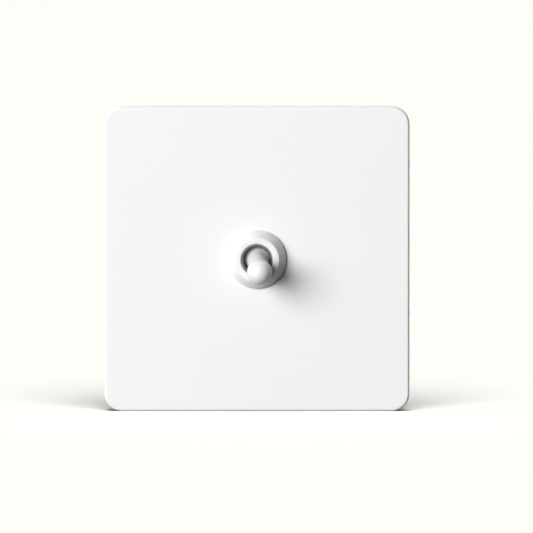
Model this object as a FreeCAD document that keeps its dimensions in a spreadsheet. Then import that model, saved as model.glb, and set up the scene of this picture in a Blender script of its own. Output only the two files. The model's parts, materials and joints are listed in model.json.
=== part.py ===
import FreeCAD, Part
import Sketcher
import math
import os
from FreeCAD import Placement, Rotation, Vector

# Toggle wall switch: square metal faceplate, conical dress nut and tilting
# lever in front; steel yoke, clips and box screws under the plate; a
# change-over toggle mechanism with three pillar terminals behind it.
#
# Frame: millimetres, +Z up, +Y into the wall, the front faces -Y. The origin
# is the centre of the faceplate's rear rim, on the wall's surface.

doc = FreeCAD.newDocument("toggle_wall_switch")
sheet = doc.addObject("Spreadsheet::Sheet", "P")

SIZES = [
    # faceplate
    ("plate_w", 86.0, "faceplate width and height"),
    ("plate_corner", 5.0, "corner radius of the faceplate"),
    ("plate_depth", 5.0, "faceplate depth, wall to front face"),
    ("plate_skin", 1.5, "thickness of the front skin"),
    ("plate_skirt", 1.6, "thickness of the skirt"),
    ("plate_edge", 0.7, "rounding of the front edge"),
    ("plate_hole_r", 6.2, "hole for the bushing"),
    # dress nut
    ("collar_r", 8.25, "outer radius of the dress nut"),
    ("collar_base", 0.9, "height of its straight foot"),
    ("collar_tall", 4.0, "its height over the plate"),
    ("collar_rim_r", 5.95, "outer radius of its front rim"),
    ("collar_mouth_r", 4.48, "radius of its mouth"),
    ("collar_lip", 0.9, "depth of the lip over the bushing"),
    ("collar_thread_r", 6.0, "internal thread radius"),
    # bushing
    ("bush_r", 5.95, "thread radius, M12 x 0.75"),
    ("bush_front", 8.0, "front end of the bushing ahead of the wall"),
    ("bush_mouth_r", 4.3, "bore radius at the front end"),
    ("bush_bore_r", 3.65, "bore radius around the ball"),
    ("bush_flare_at", 2.2, "pivot to the start of the bore's flare"),
    ("flange_r", 7.3, "rear flange radius"),
    ("flange_tall", 1.2, "rear flange thickness"),
    # nut and washer under the plate
    ("nut_flats", 15.0, "across flats of the hex nut"),
    ("nut_tall", 1.4, "hex nut thickness"),
    ("washer_r", 8.8, "lock washer outer radius"),
    ("washer_tall", 0.4, "lock washer thickness"),
    # yoke
    ("yoke_w", 76.0, "yoke width"),
    ("yoke_tall", 66.0, "yoke height"),
    ("yoke_thick", 1.2, "yoke thickness"),
    ("yoke_back", 0.4, "gap between yoke and wall"),
    ("yoke_corner", 4.0, "yoke corner radius"),
    ("yoke_hole_r", 6.05, "yoke centre hole"),
    ("screw_pitch", 60.3, "spacing of the box screws"),
    ("slot_r", 1.9, "half width of the screw slots"),
    ("slot_len", 6.6, "end-to-end length of the screw slots"),
    # box screws
    ("box_screw_r", 1.75, "M3.5 shank radius"),
    ("box_neck_r", 1.5, "neck radius in the yoke"),
    ("box_head_r", 3.2, "head radius"),
    ("box_head_tall", 1.5, "head height"),
    ("box_screw_end", 20.0, "screw length behind the wall plane"),
    # clips
    ("clip_x", 34.0, "clip rivet, distance from the centre line"),
    ("clip_z", 20.0, "clip rivet, height from the centre line"),
    ("clip_w", 9.0, "clip width"),
    ("clip_thick", 0.5, "clip sheet thickness"),
    ("rivet_r", 1.2, "rivet shank radius"),
    # toggle frame and base
    ("frame_w", 20.0, "saddle frame width"),
    ("frame_tall", 32.0, "saddle frame height"),
    ("frame_thick", 1.0, "saddle sheet thickness"),
    ("frame_arm_w", 12.0, "width of the saddle arms"),
    ("base_w", 19.2, "base width"),
    ("base_tall", 29.8, "base height, front part"),
    ("base_rear_tall", 26.8, "base height, terminal part"),
    ("base_step", 11.5, "depth of the step behind the wall plane"),
    ("base_back", 22.0, "rear face of the base"),
    ("sheet_thick", 0.5, "insulating sheet thickness"),
    ("room_w", 15.2, "contact chamber width"),
    ("room_tall", 24.4, "contact chamber height"),
    ("floor_thick", 2.0, "floor between chamber and terminal pockets"),
    ("block_w", 8.4, "terminal block width"),
    ("block_tall", 6.5, "terminal block height"),
    ("block_len", 8.0, "terminal block length"),
    ("block_pitch", 8.6, "pitch of the terminals"),
    ("wire_r", 1.6, "wire bore radius"),
    ("wire_len", 6.5, "wire bore length"),
    ("tap_r", 1.5, "threaded hole for the clamp screw"),
    ("clamp_r", 1.42, "clamp screw radius"),
    ("clamp_y", 17.5, "clamp screw axis, behind the wall plane"),
    ("access_r", 2.4, "screwdriver hole radius in the base"),
    # lever
    ("pivot_front", 3.7, "lever pivot, ahead of the wall plane"),
    ("lever_rest", 10.25, "lever angle below level at rest, degrees"),
    ("lever_lean", 3.0, "sideways lean of the handle, degrees"),
    ("lever_r", 3.53, "radius of the lever's round end"),
    ("lever_root_r", 2.93, "radius where the handle leaves the ball"),
    ("lever_neck_r", 2.5, "radius of the neck behind the round end"),
    ("lever_len", 15.3, "pivot to the centre of the round end"),
    ("ball_r", 3.5, "pivot ball radius"),
    ("tail_r", 2.2, "tail radius behind the ball"),
    ("tail_len", 7.5, "pivot to the end of the tail"),
    ("tail_bore_r", 1.45, "plunger bore radius"),
    ("tail_bore_end", 2.0, "blind end of that bore, from the pivot"),
    ("pin_r", 0.8, "pivot pin radius"),
    ("pin_run", 0.05, "running clearance of pins"),
    ("plunger_r", 1.38, "plunger radius"),
    ("plunger_tip_r", 1.3, "plunger tip radius"),
    ("plunger_at", 4.9, "front end of the plunger, from the pivot"),
    ("plunger_tip_at", 10.1, "centre of its tip, from the pivot"),
    ("spring_r", 1.1, "mean radius of the plunger spring"),
    ("spring_wire_r", 0.16, "spring wire radius"),
    # rocker
    ("rocker_y", 8.37, "rocker pivot, behind the wall plane"),
    ("rocker_rest", 9.0, "rocker angle at rest, degrees"),
    ("rocker_w", 9.8, "rocker width"),
    ("rocker_arm", 8.6, "rocker arm length"),
    ("tip_z", 7.2, "contact tips from the centre line"),
    ("tip_r", 1.4, "contact tip radius"),
    ("stem_r", 0.75, "contact rivet stem radius"),
    # earth terminal
    ("earth_x", 22.0, "earth block to the right of the centre"),
    ("earth_z", 24.0, "earth block below the centre"),
    ("earth_w", 7.0, "earth block width and height"),
    ("earth_len", 6.5, "earth block length"),
]
for row, (alias, value, words) in enumerate(SIZES, start=1):
    sheet.set("A%d" % row, words)
    sheet.set("B%d" % row, "%r" % value)
    sheet.setAlias("B%d" % row, alias)
doc.recompute()


class Dim:
    """A size with its spreadsheet expression, so that arithmetic keeps both."""

    def __init__(self, text, value):
        self.text, self.value = text, float(value)

    def __add__(self, o):
        o = dim(o)
        return Dim("(%s + %s)" % (self.text, o.text), self.value + o.value)

    def __sub__(self, o):
        o = dim(o)
        return Dim("(%s - %s)" % (self.text, o.text), self.value - o.value)

    def __mul__(self, o):
        o = dim(o)
        return Dim("(%s * %s)" % (self.text, o.text), self.value * o.value)

    def __truediv__(self, o):
        o = dim(o)
        return Dim("(%s / %s)" % (self.text, o.text), self.value / o.value)

    def __neg__(self):
        return Dim("(0 - %s)" % self.text, -self.value)

    def __radd__(self, o):
        return dim(o) + self

    def __rsub__(self, o):
        return dim(o) - self

    def __rmul__(self, o):
        return dim(o) * self


def dim(v):
    return v if isinstance(v, Dim) else Dim("(%r)" % float(v), v)


def root(v):
    return Dim("sqrt(%s)" % v.text, math.sqrt(v.value))


S = {alias: Dim("P.%s" % alias, value) for alias, value, words in SIZES}


def bind(obj, prop, size):
    obj.setExpression(prop, dim(size).text)


# ---------------------------------------------------------------- sketches


def new_body(name, at=(0, 0, 0), turn_x=None):
    body = doc.addObject("PartDesign::Body", name)
    body.Label = name
    base = Vector(*[dim(v).value for v in at])
    angle = dim(turn_x).value if turn_x is not None else 0.0
    body.Placement = Placement(base, Rotation(Vector(1, 0, 0), angle))
    for axis, v in zip("xyz", at):
        bind(body, "Placement.Base.%s" % axis, v)
    if turn_x is not None:
        bind(body, "Placement.Rotation.Angle", turn_x)
    return body


def new_sketch(body, name, role, lift=0):
    """role XZ_Plane: local x = X, y = Z, normal -Y. XY_Plane: x = X, y = Y,
    normal +Z. YZ_Plane: x = Y, y = Z, normal +X. lift runs along the normal."""
    sk = body.newObject("Sketcher::SketchObject", name)
    plane = [f for f in body.Origin.OriginFeatures if f.Role == role][0]
    sk.AttachmentSupport = [(plane, "")]
    sk.MapMode = "FlatFace"
    sk.AttachmentOffset = Placement(Vector(0, 0, dim(lift).value), Rotation())
    bind(sk, "AttachmentOffset.Base.z", lift)
    return sk


def pin_point(sk, geo, end, x, y):
    """Fix one point of a sketch at x, y from the sketch origin."""
    for kind, axis, v in (("DistanceX", -2, dim(x)), ("DistanceY", -1, dim(y))):
        if abs(v.value) < 1e-9:
            sk.addConstraint(Sketcher.Constraint("PointOnObject", geo, end, axis))
            continue
        i = sk.addConstraint(Sketcher.Constraint(kind, -1, 1, geo, end, v.value))
        bind(sk, "Constraints[%d]" % i, v)


def outline(sk, points):
    """Closed outline. A point is (x, y), or (x, y, radius, cx, cy) for one
    reached by an arc with that radius about that centre."""
    n = len(points)
    xy = [Vector(dim(p[0]).value, dim(p[1]).value, 0) for p in points]
    ids = []
    for i in range(n):
        a, b, p = xy[i], xy[(i + 1) % n], points[(i + 1) % n]
        if len(p) == 2:
            ids.append((sk.addGeometry(Part.LineSegment(a, b), False), 1, 2))
            continue
        c = Vector(dim(p[3]).value, dim(p[4]).value, 0)
        t0 = math.atan2(a.y - c.y, a.x - c.x)
        t1 = math.atan2(b.y - c.y, b.x - c.x)
        turn = (t1 - t0) % (2 * math.pi)
        circle = Part.Circle(c, Vector(0, 0, 1), dim(p[2]).value)
        if turn < math.pi + 1e-6:
            arc, start, end = Part.ArcOfCircle(circle, t0, t0 + turn), 1, 2
        else:
            arc, start, end = Part.ArcOfCircle(circle, t1, t1 + 2 * math.pi - turn), 2, 1
        g = sk.addGeometry(arc, False)
        k = sk.addConstraint(Sketcher.Constraint("Radius", g, dim(p[2]).value))
        bind(sk, "Constraints[%d]" % k, p[2])
        ids.append((g, start, end))
    for i in range(n):
        g, start, end = ids[i]
        h, start2, end2 = ids[(i + 1) % n]
        sk.addConstraint(Sketcher.Constraint("Coincident", g, end, h, start2))
        pin_point(sk, g, start, points[i][0], points[i][1])


def rectangle(sk, x0, x1, y0, y1):
    outline(sk, [(x0, y0), (x1, y0), (x1, y1), (x0, y1)])


def ring(sk, x, y, r):
    g = sk.addGeometry(
        Part.Circle(Vector(dim(x).value, dim(y).value, 0), Vector(0, 0, 1), dim(r).value),
        False,
    )
    k = sk.addConstraint(Sketcher.Constraint("Radius", g, dim(r).value))
    bind(sk, "Constraints[%d]" % k, r)
    pin_point(sk, g, 3, x, y)


def rounded(sk, centres, r):
    """Outline around equal circles at these centres, listed anticlockwise:
    two give a slot, four a rectangle with rounded corners."""
    n = len(centres)
    c = [Vector(dim(x).value, dim(y).value, 0) for x, y in centres]
    rv = dim(r).value
    arcs, lines = [], []
    for i in range(n):
        a, b = c[i] - c[i - 1], c[(i + 1) % n] - c[i]
        t0 = math.atan2(a.y, a.x) - math.pi / 2
        turn = (math.atan2(b.y, b.x) - math.pi / 2 - t0) % (2 * math.pi)
        circle = Part.Circle(c[i], Vector(0, 0, 1), rv)
        arcs.append(sk.addGeometry(Part.ArcOfCircle(circle, t0, t0 + turn), False))
    for i in range(n):
        b = c[(i + 1) % n] - c[i]
        out = Vector(b.y, -b.x, 0)
        out.normalize()
        ends = c[i] + out * rv, c[(i + 1) % n] + out * rv
        lines.append(sk.addGeometry(Part.LineSegment(*ends), False))
    for i in range(n):
        sk.addConstraint(Sketcher.Constraint("Tangent", arcs[i], 2, lines[i], 1))
        sk.addConstraint(
            Sketcher.Constraint("Tangent", lines[i], 2, arcs[(i + 1) % n], 1)
        )
    for g, (x, y) in zip(arcs, centres):
        k = sk.addConstraint(Sketcher.Constraint("Radius", g, rv))
        bind(sk, "Constraints[%d]" % k, r)
        pin_point(sk, g, 3, x, y)


# ---------------------------------------------------------------- features


def pad(body, sk, name, length, both=False, reverse=False):
    f = body.newObject("PartDesign::Pad", name)
    f.Profile = sk
    f.Length = dim(length).value
    bind(f, "Length", length)
    f.Midplane = both
    f.Reversed = reverse
    doc.recompute()
    return f


def pocket(body, sk, name, length, both=False, reverse=False):
    before = body.Shape.Volume
    f = body.newObject("PartDesign::Pocket", name)
    f.Profile = sk
    f.Length = dim(length).value
    bind(f, "Length", length)
    f.Midplane = both
    f.Reversed = reverse
    doc.recompute()
    if not f.Shape.Volume < before - 1e-6:
        raise RuntimeError("%s cut nothing" % name)
    return f


def spin(body, sk, name, axis="V_Axis"):
    f = body.newObject("PartDesign::Revolution", name)
    f.Profile = sk
    f.ReferenceAxis = (sk, [axis])
    f.Angle = 360.0
    doc.recompute()
    return f


def soften(body, feature, name, kind, size, pick):
    """Fillet or Chamfer on the edges of a feature that pick accepts."""
    names = [
        "Edge%d" % (i + 1) for i, e in enumerate(feature.Shape.Edges) if pick(e)
    ]
    f = body.newObject("PartDesign::%s" % kind, name)
    f.Base = (feature, names)
    prop = "Radius" if kind == "Fillet" else "Size"
    setattr(f, prop, dim(size).value)
    bind(f, prop, size)
    doc.recompute()
    return f


def along_y(e):
    a, b = e.Vertexes[0].Point, e.Vertexes[-1].Point
    return abs(a.y - b.y) > 0.2 and abs(a.x - b.x) < 1e-6 and abs(a.z - b.z) < 1e-6


def at_y(y):
    def pick(e):
        box = e.BoundBox
        return abs(box.YMin - y) < 1e-5 and abs(box.YMax - y) < 1e-5

    return pick


def circle_at(y, r):
    def pick(e):
        c = e.Curve
        return (
            at_y(y)(e) and isinstance(c, Part.Circle) and abs(c.Radius - r) < 1e-4
        )

    return pick


def mirrored(source, name, normal):
    m = doc.addObject("Part::Mirroring", name)
    m.Source = source
    m.Base = Vector(0, 0, 0)
    m.Normal = Vector(*normal)
    return m


def group(name, items):
    """Several equal pieces as one sub-part."""
    g = doc.addObject("Part::Compound", name)
    g.Label = name
    g.Links = items
    return g


NODES = []


def node(obj):
    NODES.append(obj)
    return obj


# --------------------------------------------------------------- faceplate
half = S["plate_w"] / 2
body = new_body("faceplate")
sk = new_sketch(body, "plate_outline", "XZ_Plane")
flat = half - S["plate_corner"]
rounded(sk, [(-flat, -flat), (flat, -flat), (flat, flat), (-flat, flat)], S["plate_corner"])
f = pad(body, sk, "plate_block", S["plate_depth"])
soften(body, f, "plate_front_edge", "Fillet", S["plate_edge"], at_y(-S["plate_depth"].value))
# the inside of the skirt follows the outside at an even wall thickness
sk = new_sketch(body, "plate_inside", "XZ_Plane")
rounded(
    sk,
    [(-flat, -flat), (flat, -flat), (flat, flat), (-flat, flat)],
    S["plate_corner"] - S["plate_skirt"],
)
pocket(body, sk, "plate_hollow", S["plate_depth"] - S["plate_skin"], reverse=True)
sk = new_sketch(body, "plate_hole", "XZ_Plane")
ring(sk, 0, 0, S["plate_hole_r"])
pocket(body, sk, "plate_hole_cut", S["plate_depth"] + 1, reverse=True)
node(body)

# ---------------------------------------------------------------- dress nut
front = -S["plate_depth"]
top = front - S["collar_tall"]
body = new_body("collar_nut")
sk = new_sketch(body, "collar_profile", "XY_Plane")
outline(
    sk,
    [
        (S["collar_thread_r"], front),
        (S["collar_r"], front),
        (S["collar_r"], front - S["collar_base"]),
        (S["collar_r"] - 0.15, front - S["collar_base"] - 0.2),
        (S["collar_rim_r"], top),
        (S["collar_mouth_r"], top),
        (S["collar_mouth_r"], top + S["collar_lip"]),
        (S["collar_thread_r"], top + S["collar_lip"]),
    ],
)
f = spin(body, sk, "collar_turned")
f = soften(body, f, "collar_rim_outer", "Fillet", 0.45, circle_at(top.value, S["collar_rim_r"].value))
f = soften(body, f, "collar_rim_inner", "Fillet", 0.4, circle_at(top.value, S["collar_mouth_r"].value))
node(body)

# ------------------------------------------------------------------ bushing
bush_end = -S["bush_front"]
frame_back = S["frame_thick"] - S["yoke_back"]
body = new_body("bushing")
sk = new_sketch(body, "bushing_profile", "XY_Plane")
outline(
    sk,
    [
        (S["bush_bore_r"], frame_back + S["flange_tall"]),
        (S["flange_r"], frame_back + S["flange_tall"]),
        (S["flange_r"], frame_back),
        (S["bush_r"], frame_back),
        (S["bush_r"], bush_end + 0.4),
        (S["bush_r"] - 0.4, bush_end),
        (S["bush_mouth_r"], bush_end),
        (S["bush_bore_r"], -S["pivot_front"] - S["bush_flare_at"]),
    ],
)
spin(body, sk, "bushing_turned")
sk = new_sketch(body, "bushing_pin_hole", "YZ_Plane")
ring(sk, -S["pivot_front"], 0, S["pin_r"] + 0.02)
pocket(body, sk, "bushing_pin_hole_cut", 20, both=True)
node(body)

# ------------------------------------------------- hex nut and lock washer
yoke_front = -S["yoke_back"] - S["yoke_thick"]
washer_front = yoke_front - S["washer_tall"]
body = new_body("hex_nut")
sk = new_sketch(body, "hex_profile", "XZ_Plane", -washer_front)
side = S["nut_flats"] / 2
corner = S["nut_flats"] / math.sqrt(3)
outline(
    sk,
    [
        (corner, 0),
        (corner / 2, side),
        (-(corner / 2), side),
        (-corner, 0),
        (-(corner / 2), -side),
        (corner / 2, -side),
    ],
)
ring(sk, 0, 0, S["bush_r"] + 0.05)
pad(body, sk, "hex_block", S["nut_tall"])
node(body)

body = new_body("lock_washer")
sk = new_sketch(body, "washer_ring", "XZ_Plane", -yoke_front)
ring(sk, 0, 0, S["washer_r"])
ring(sk, 0, 0, S["bush_r"] + 0.1)
pad(body, sk, "washer_pad", S["washer_tall"])
sk = new_sketch(body, "washer_notch", "XZ_Plane", -yoke_front)
rectangle(sk, S["bush_r"] - 1, S["bush_r"] + 1.3, -0.85, 0.85)
notch = pocket(body, sk, "washer_notch_cut", 2, both=True)
pattern = body.newObject("PartDesign::PolarPattern", "washer_teeth")
pattern.Originals = [notch]
pattern.Axis = ([a for a in body.Origin.OriginFeatures if a.Role == "Y_Axis"][0], [""])
pattern.Angle = 360.0
pattern.Occurrences = 10
body.Tip = pattern
doc.recompute()
node(body)

# ------------------------------------------------------------ mounting yoke
body = new_body("mounting_yoke")
sk = new_sketch(body, "yoke_outline", "XZ_Plane", S["yoke_back"])
yx = S["yoke_w"] / 2 - S["yoke_corner"]
yz = S["yoke_tall"] / 2 - S["yoke_corner"]
rounded(sk, [(-yx, -yz), (yx, -yz), (yx, yz), (-yx, yz)], S["yoke_corner"])
pad(body, sk, "yoke_sheet", S["yoke_thick"])
sk = new_sketch(body, "yoke_holes", "XZ_Plane")
ring(sk, 0, 0, S["yoke_hole_r"])
for sx in (1, -1):
    for sz in (1, -1):
        ring(sk, sx * S["clip_x"], sz * S["clip_z"], S["rivet_r"] + 0.02)
ring(sk, S["earth_x"], -S["earth_z"], 1.52)
pocket(body, sk, "yoke_holes_cut", 10, both=True)
sk = new_sketch(body, "yoke_slots", "XZ_Plane")
reach = S["slot_len"] / 2 - S["slot_r"]
for sx in (1, -1):
    cx = sx * (S["screw_pitch"] / 2)
    rounded(sk, [(cx - reach, 0), (cx + reach, 0)], S["slot_r"])
pocket(body, sk, "yoke_slots_cut", 10, both=True)
node(body)

# -------------------------------------------- clips that grip the faceplate
inside = half - S["plate_skirt"]
piece = new_body("clip_piece", (0, 0, S["clip_z"] - S["clip_w"] / 2))
sk = new_sketch(piece, "clip_profile", "XY_Plane")
t = S["clip_thick"]
edge = S["yoke_w"] / 2
outline(
    sk,
    [
        (edge - 6.5, yoke_front - t),
        (edge + 1.6, yoke_front - t),
        (inside - 0.35, yoke_front - 0.55),
        (inside - 0.05, yoke_front + 0.15),
        (inside - 0.7, yoke_front + 1.05),
        (inside - 1.2, yoke_front + 1.05),
        (inside - 0.6, yoke_front + 0.1),
        (edge + 1.4, yoke_front),
        (edge - 6.5, yoke_front),
    ],
)
pad(piece, sk, "clip_sheet", S["clip_w"])
sk = new_sketch(piece, "clip_hole", "XZ_Plane")
ring(sk, S["clip_x"], S["clip_w"] / 2, S["rivet_r"] + 0.02)
pocket(piece, sk, "clip_hole_cut", 10, both=True)
right = mirrored(piece, "clip_low_right", (0, 0, 1))
left = mirrored(piece, "clip_high_left", (1, 0, 0))
low = mirrored(left, "clip_low_left", (0, 0, 1))
node(group("plate_clips", [piece, right, left, low]))

piece = new_body("clip_rivet_piece", (S["clip_x"], yoke_front, S["clip_z"]))
sk = new_sketch(piece, "rivet_profile", "XY_Plane")
back = S["yoke_thick"] + 0.5
outline(
    sk,
    [
        (0, -t - 0.7),
        (S["rivet_r"] * 0.9, -t - 0.7),
        (S["rivet_r"] * 1.7, -t - 0.3),
        (S["rivet_r"] * 1.7, -t),
        (S["rivet_r"], -t),
        (S["rivet_r"], S["yoke_thick"]),
        (S["rivet_r"] * 1.5, S["yoke_thick"]),
        (S["rivet_r"] * 1.3, back),
        (0, back),
    ],
)
spin(piece, sk, "rivet_turned")
right = mirrored(piece, "rivet_low_right", (0, 0, 1))
left = mirrored(piece, "rivet_high_left", (1, 0, 0))
low = mirrored(left, "rivet_low_left", (0, 0, 1))
node(group("clip_rivets", [piece, right, left, low]))

# ------------------------------------------------- box screws and retainers
piece = new_body("box_screw_piece", (S["screw_pitch"] / 2, 0, 0))
sk = new_sketch(piece, "box_screw_profile", "XY_Plane")
head = yoke_front - S["box_head_tall"]
outline(
    sk,
    [
        (0, head),
        (S["box_head_r"] - 0.8, head),
        (S["box_head_r"], head + 0.6),
        (S["box_head_r"], yoke_front),
        (S["box_neck_r"], yoke_front),
        (S["box_neck_r"], 0.6),
        (S["box_screw_r"], 0.8),
        (S["box_screw_r"], S["box_screw_end"] - 0.6),
        (S["box_screw_r"] - 0.6, S["box_screw_end"]),
        (0, S["box_screw_end"]),
    ],
)
spin(piece, sk, "box_screw_turned")
sk = new_sketch(piece, "box_screw_slot", "XZ_Plane", -head)
rectangle(sk, -4, 4, -0.45, 0.45)
pocket(piece, sk, "box_screw_slot_cut", 1.7, both=True)
node(group("mounting_screws", [piece, mirrored(piece, "box_screw_left", (1, 0, 0))]))

piece = new_body("retainer_piece", (S["screw_pitch"] / 2, 0, 0))
sk = new_sketch(piece, "retainer_profile", "XZ_Plane", -0.1)
ring(sk, 0, 0, 3.1)
ring(sk, 0, 0, S["box_neck_r"] + 0.02)
pad(piece, sk, "retainer_sheet", S["yoke_back"] + 0.1)
node(group("screw_retainers", [piece, mirrored(piece, "retainer_left", (1, 0, 0))]))

# ------------------------------------------------------------- saddle frame
body = new_body("switch_frame")
sk = new_sketch(body, "frame_outline", "XZ_Plane", -frame_back)
fx, fz = S["frame_w"] / 2 - 1, S["frame_tall"] / 2 - 1
rounded(sk, [(-fx, -fz), (fx, -fz), (fx, fz), (-fx, fz)], 1.0)
pad(body, sk, "frame_sheet", S["frame_thick"])
sk = new_sketch(body, "frame_arms", "YZ_Plane")
outer = S["frame_tall"] / 2
hook = S["base_rear_tall"] / 2 + 0.15
step = S["base_step"]
for sz in (1, -1):
    outline(
        sk,
        [
            (frame_back - 0.3, sz * outer),
            (step + S["frame_thick"], sz * outer),
            (step + S["frame_thick"], sz * hook),
            (step + 0.02, sz * hook),
            (step + 0.02, sz * (outer - S["frame_thick"])),
            (frame_back - 0.3, sz * (outer - S["frame_thick"])),
        ],
    )
pad(body, sk, "frame_arm_sheets", S["frame_arm_w"], both=True)
sk = new_sketch(body, "frame_hole", "XZ_Plane")
ring(sk, 0, 0, S["yoke_hole_r"])
pocket(body, sk, "frame_hole_cut", 4, both=True)
node(body)

body = new_body("insulator")
bx, bz = S["base_w"] / 2 - 0.8, S["base_tall"] / 2 - 0.8
sheet_back = frame_back + S["sheet_thick"]
sk = new_sketch(body, "insulator_outline", "XZ_Plane", -sheet_back)
rounded(sk, [(-bx, -bz), (bx, -bz), (bx, bz), (-bx, bz)], 0.8)
ring(sk, 0, 0, S["flange_r"] + 0.2)
pad(body, sk, "insulator_sheet", S["sheet_thick"])
node(body)

# -------------------------------------------------------------- switch base
body = new_body("switch_base")
sk = new_sketch(body, "base_front_outline", "XZ_Plane", -step)
rounded(sk, [(-bx, -bz), (bx, -bz), (bx, bz), (-bx, bz)], 0.8)
pad(body, sk, "base_front_block", step - sheet_back)
rz = S["base_rear_tall"] / 2 - 0.8
sk = new_sketch(body, "base_rear_outline", "XZ_Plane", -S["base_back"])
rounded(sk, [(-bx, -rz), (bx, -rz), (bx, rz), (-bx, rz)], 0.8)
pad(body, sk, "base_rear_block", S["base_back"] - step)
sk = new_sketch(body, "room_outline", "XZ_Plane", -step)
mx, mz = S["room_w"] / 2 - 1, S["room_tall"] / 2 - 1
rounded(sk, [(-mx, -mz), (mx, -mz), (mx, mz), (-mx, mz)], 1.0)
pocket(body, sk, "room_cut", step, reverse=True)
seat = step + S["floor_thick"]
sk = new_sketch(body, "terminal_pockets", "XZ_Plane", -S["base_back"])
for k in (1, 0, -1):
    c = k * S["block_pitch"]
    bw, bt = S["block_w"] / 2 + 0.05, S["block_tall"] / 2 + 0.05
    rectangle(sk, -bw, bw, c - bt, c + bt)
pocket(body, sk, "terminal_pockets_cut", S["base_back"] - seat, reverse=True)
sk = new_sketch(body, "post_slots", "XZ_Plane", -seat)
for k in (1, 0, -1):
    c = k * S["block_pitch"]
    rectangle(sk, -1.55, 1.55, c - 1.05, c + 1.05)
pocket(body, sk, "post_slots_cut", 6, both=True)
sk = new_sketch(body, "screw_access", "YZ_Plane")
for k in (1, 0, -1):
    ring(sk, S["clamp_y"], k * S["block_pitch"], S["access_r"])
pocket(body, sk, "screw_access_cut", S["base_w"] / 2 + 1, reverse=True)
node(body)

# ---------------------------------------------- lever, pin, plunger, spring
pivot = (0, -S["pivot_front"], 0)
body = new_body("lever", pivot, S["lever_rest"])
ball = S["ball_r"]
sk = new_sketch(body, "tail_profile", "XY_Plane")
outline(
    sk,
    [
        (0, S["tail_bore_end"]),
        (0, -ball),
        (S["tail_r"], root(ball * ball - S["tail_r"] * S["tail_r"]), ball, 0, 0),
        (S["tail_r"], S["tail_len"]),
        (S["tail_bore_r"], S["tail_len"]),
        (S["tail_bore_r"], S["tail_bore_end"]),
    ],
)
spin(body, sk, "tail_turned")
# the handle leans a little to the right of the plane that it swings in
sk = new_sketch(body, "handle_profile", "XY_Plane")
sk.AttachmentOffset = Placement(Vector(0, 0, 0), Rotation(Vector(0, 0, 1), S["lever_lean"].value))
bind(sk, "AttachmentOffset.Rotation.Angle", S["lever_lean"])
outline(
    sk,
    [
        (0, -1.2),
        (0, -S["lever_len"] - S["lever_r"]),
        (S["lever_r"], -S["lever_len"], S["lever_r"], 0, -S["lever_len"]),
        (
            S["lever_neck_r"],
            -S["lever_len"] + root(S["lever_r"] * S["lever_r"] - S["lever_neck_r"] * S["lever_neck_r"]),
            S["lever_r"],
            0,
            -S["lever_len"],
        ),
        (S["lever_root_r"], -1.6),
        (S["lever_root_r"], -1.2),
    ],
)
spin(body, sk, "handle_turned")
sk = new_sketch(body, "lever_pin_hole", "YZ_Plane")
ring(sk, 0, 0, S["pin_r"] + S["pin_run"])
pocket(body, sk, "lever_pin_hole_cut", 20, both=True)
node(body)

pin = doc.addObject("Part::Cylinder", "lever_pin")
pin.Label = "lever_pin"
pin.Placement = Placement(Vector(-5.8, -3.7, 0), Rotation(Vector(0, 1, 0), 90))
bind(pin, "Radius", S["pin_r"])
bind(pin, "Height", S["bush_r"] * 2 - 0.3)
bind(pin, "Placement.Base.x", -(S["bush_r"] - 0.15))
bind(pin, "Placement.Base.y", -S["pivot_front"])
node(pin)

body = new_body("plunger", pivot, S["lever_rest"])
sk = new_sketch(body, "plunger_profile", "XY_Plane")
outline(
    sk,
    [
        (0, S["plunger_at"]),
        (S["plunger_r"], S["plunger_at"]),
        (S["plunger_r"], S["plunger_tip_at"] - 1.2),
        (S["plunger_tip_r"], S["plunger_tip_at"] - 1.0),
        (S["plunger_tip_r"], S["plunger_tip_at"]),
        (0, S["plunger_tip_at"] + S["plunger_tip_r"], S["plunger_tip_r"], 0, S["plunger_tip_at"]),
    ],
)
spin(body, sk, "plunger_turned")
node(body)

body = new_body("plunger_spring", pivot, S["lever_rest"])
sk = new_sketch(body, "spring_wire", "XY_Plane")
ring(sk, S["spring_r"], S["tail_bore_end"] + S["spring_wire_r"] + 0.02, S["spring_wire_r"])
coil = body.newObject("PartDesign::AdditiveHelix", "spring_coil")
coil.Profile = sk
coil.ReferenceAxis = (sk, ["V_Axis"])
coil.Mode = 0
span = S["plunger_at"] - S["tail_bore_end"] - S["spring_wire_r"] * 2 - 0.04
coil.Pitch = (span / 4.5).value
bind(coil, "Pitch", span / 4.5)
coil.Height = span.value
bind(coil, "Height", span)
doc.recompute()
node(body)

# ------------------------------------------------- rocker and moving contact
hub = (0, S["rocker_y"], 0)
body = new_body("rocker", hub, -S["rocker_rest"])
sk = new_sketch(body, "rocker_profile", "YZ_Plane")
arm = S["rocker_arm"]
outline(
    sk,
    [
        (-0.4, 0),
        (-0.94, -2.2),
        (-0.94, -arm),
        (-0.14, -arm),
        (-0.14, -2.2),
        (0.4, 0),
        (-0.14, 2.2),
        (-0.14, arm),
        (-0.94, arm),
        (-0.94, 2.2),
    ],
)
pad(body, sk, "rocker_sheet", S["rocker_w"], both=True)
for sign, word in ((1, "right"), (-1, "left")):
    sk = new_sketch(body, "trunnion_%s" % word, "YZ_Plane", sign * (S["rocker_w"] / 2 - 0.9))
    ring(sk, 0, 0, S["pin_r"])
    pad(body, sk, "trunnion_%s_pad" % word, 2.2, reverse=sign < 0)
sk = new_sketch(body, "rocker_rivet_holes", "XZ_Plane")
for sz in (1, -1):
    ring(sk, 0, sz * S["tip_z"], S["stem_r"] + 0.02)
pocket(body, sk, "rocker_rivet_holes_cut", 6, both=True)
node(body)


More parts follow.
